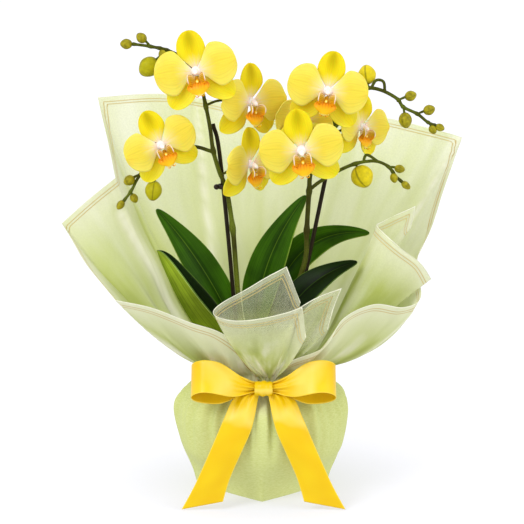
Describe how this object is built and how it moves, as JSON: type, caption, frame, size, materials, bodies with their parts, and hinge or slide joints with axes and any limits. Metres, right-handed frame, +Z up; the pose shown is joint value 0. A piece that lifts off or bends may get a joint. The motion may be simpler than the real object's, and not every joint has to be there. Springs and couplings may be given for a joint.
{
  "type": "gift-wrapped potted orchid",
  "caption": "Yellow moth orchid with arching flower spikes in a nursery pot, wrapped in a flared see-through sheet and tied at the neck with a satin ribbon bow.",
  "frame": {"origin": "middle of the flat foot that the wrapped pot stands on", "axes": "+Z up, the flower spikes' way; -Y is the front, where the bow is tied; +X is the viewer's right"},
  "size_m": [0.4142, 0.2909, 0.4619],
  "materials": {
    "pot_plastic": "satin, slightly cloudy",
    "bark": "rough pine bark",
    "crown": "matt",
    "stake": "matt",
    "clip": "matt",
    "leaf": "waxy satin, paler underneath",
    "stem": "satin, buds yellow-green",
    "petal": "soft satin with faint veins",
    "lip": "satin with red-brown stripes",
    "wrap": "crisp see-through mesh with gold hem lines",
    "ribbon": "satin"
  },
  "bodies": {
    "root": {"pot": "pot_plastic", "bark": "bark", "crown": "crown", "stake_left": "stake", "stake_right": "stake", "stake_clip": "clip", "leaf_left_upper": "leaf", "leaf_left_lower": "leaf", "leaf_centre": "leaf", "leaf_right_upper": "leaf", "leaf_right_lower": "leaf", "spike_left": "stem", "spike_right": "stem", "bloom_left_top_tepals": "petal", "bloom_left_top_lip": "lip", "bloom_left_outer_tepals": "petal", "bloom_left_outer_lip": "lip", "bloom_left_inner_tepals": "petal", "bloom_left_inner_lip": "lip", "bloom_left_low_tepals": "petal", "bloom_left_low_lip": "lip", "bloom_right_top_tepals": "petal", "bloom_right_top_lip": "lip", "bloom_right_front_tepals": "petal", "bloom_right_front_lip": "lip", "bloom_right_outer_tepals": "petal", "bloom_right_outer_lip": "lip", "bloom_right_back_tepals": "petal", "bloom_right_back_lip": "lip", "wrap_main": "wrap", "wrap_side": "wrap", "wrap_front": "wrap", "wrap_corner": "wrap", "ribbon_band": "ribbon", "ribbon_bow": "ribbon"}
  },
  "joints": []
}
